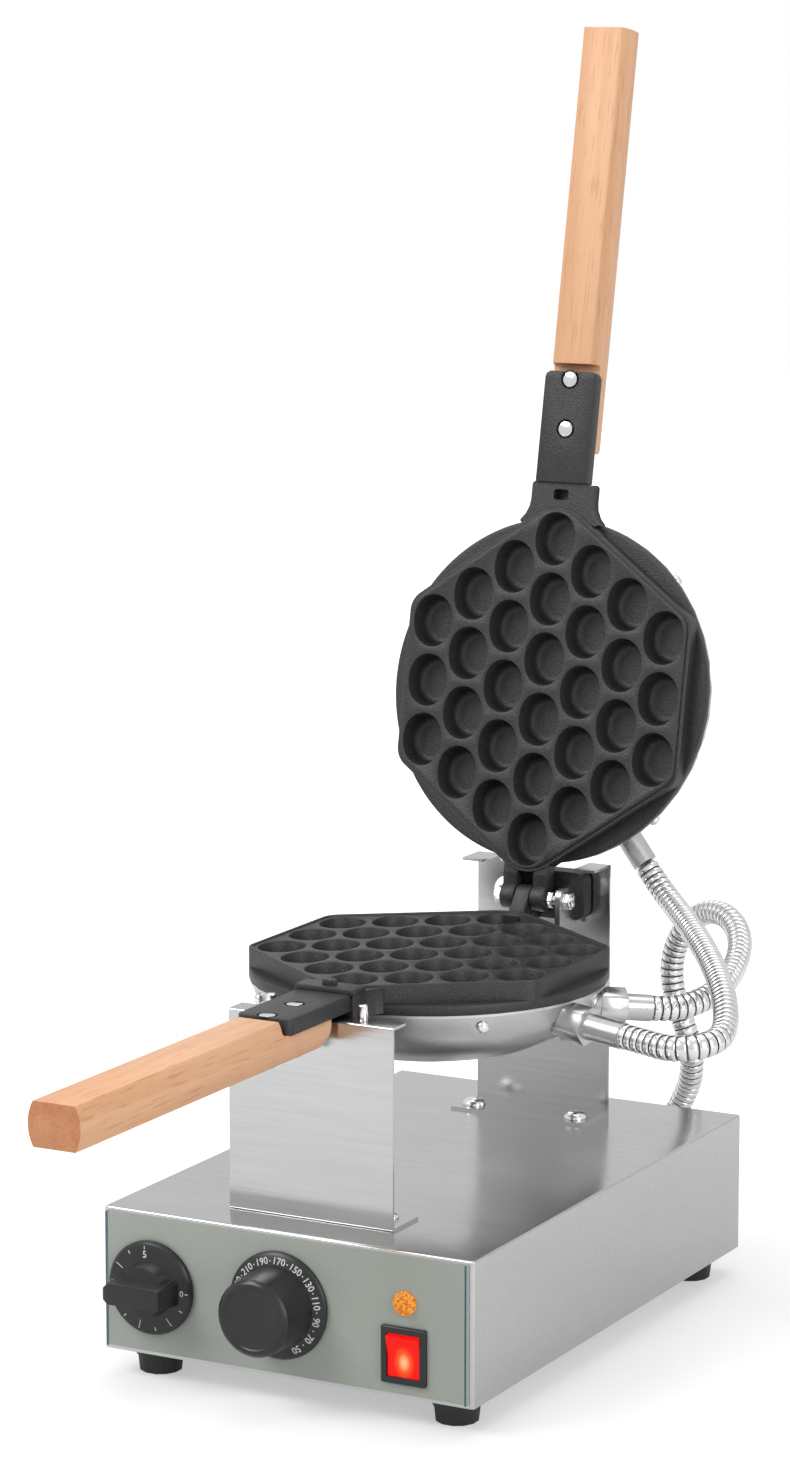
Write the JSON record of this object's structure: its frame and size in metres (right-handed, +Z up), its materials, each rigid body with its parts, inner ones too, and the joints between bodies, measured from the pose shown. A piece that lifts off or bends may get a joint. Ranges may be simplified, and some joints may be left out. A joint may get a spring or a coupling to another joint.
{
  "type": "electric bubble waffle iron",
  "caption": "Hinged pair of black cast pans with oval cells and wooden handles, turning on a steel control box with timer and thermostat.",
  "frame": {"origin": "on the table under the middle of the iron's length and width, the hoses left out", "axes": "+X to the right seen from the control panel, +Y from the panel to the hinge, +Z up"},
  "size_m": [0.2963, 0.61, 0.7076],
  "materials": {
    "brushed_steel": "brushed stainless steel, bright",
    "panel_film": "grey-green printed film, matt",
    "black_rubber": "black rubber",
    "chrome": "chromed steel",
    "black_plastic": "black plastic, half gloss",
    "grey_plastic": "grey plastic, matt",
    "amber": "amber lens, lit",
    "red": "red see-through rocker, lit",
    "cast_black": "black non-stick coating, fine sandy",
    "black_steel": "black coated steel",
    "bronze": "plain bronze",
    "heater": "dull heater sheath",
    "beech": "light oiled beech",
    "hose_steel": "stripwound bright steel"
  },
  "bodies": {
    "base": {"base_housing": "brushed_steel", "bottom_plate": "brushed_steel", "control_panel": "panel_film", "rubber_feet": "black_rubber", "foot_screws": "chrome", "timer_body": "grey_plastic", "thermostat_body": "grey_plastic", "lamp_body": "grey_plastic", "lamp_lens": "amber", "rocker_bezel": "black_plastic", "terminal_block": "grey_plastic", "mains_inlet": "black_plastic", "base_gland": "chrome", "front_support": "brushed_steel", "front_support_screws": "chrome", "guide_pins": "chrome", "rear_support": "brushed_steel", "rear_support_screws": "chrome", "swivel_bush": "bronze", "supply_hose": "hose_steel"},
    "timer": {"timer_shaft": "brushed_steel", "timer_knob": "black_plastic"},
    "thermostat": {"thermostat_shaft": "brushed_steel", "thermostat_knob": "black_plastic"},
    "rocker": {"rocker_button": "red"},
    "lower": {"swivel_shaft": "brushed_steel", "swivel_nut": "chrome", "swivel_block": "black_steel", "tail_screws": "black_steel", "hinge_tab": "brushed_steel", "hinge_bolt": "chrome", "hinge_nuts": "chrome", "lower_pan": "cast_black", "lower_dome": "brushed_steel", "lower_dome_screws": "chrome", "lower_element": "heater", "lower_handle": "beech", "lower_handle_screws": "chrome", "lower_handle_nuts": "chrome", "lower_link_fitting": "chrome", "lower_link_sleeve": "brushed_steel", "supply_fitting": "chrome", "supply_sleeve": "brushed_steel", "link_hose": "hose_steel"},
    "upper": {"upper_pan": "cast_black", "lid_ears": "cast_black", "upper_dome": "brushed_steel", "upper_dome_screws": "chrome", "upper_element": "heater", "upper_handle": "beech", "upper_handle_screws": "chrome", "upper_handle_nuts": "chrome", "upper_link_fitting": "chrome", "upper_link_sleeve": "brushed_steel"}
  },
  "joints": [
    {"name": "pan_swivel", "type": "hinge", "parent": "base", "child": "lower", "pos_m": [0, 0.20985, 0.2134], "axis": [0, 1, 0], "range_deg": [-4, 4], "deforming": ["supply_hose"]},
    {"name": "lid_hinge", "type": "hinge", "parent": "lower", "child": "upper", "pos_m": [0, 0.19115, 0.2199], "axis": [1, 0, 0], "range_deg": [0, 101.3], "deforming": ["link_hose"]},
    {"name": "timer_turn", "type": "hinge", "parent": "base", "child": "timer", "pos_m": [-0.0803, -0.08747, 0.0528], "axis": [0, 1, 0], "range_deg": [0, 300]},
    {"name": "thermostat_turn", "type": "hinge", "parent": "base", "child": "thermostat", "pos_m": [-0.0029, -0.08747, 0.0544], "axis": [0, 1, 0], "range_deg": [0, 270]},
    {"name": "rocker_tilt", "type": "hinge", "parent": "base", "child": "rocker", "pos_m": [0.0709, -0.08447, 0.038], "axis": [1, 0, 0], "range_deg": [-14, 0]}
  ]
}
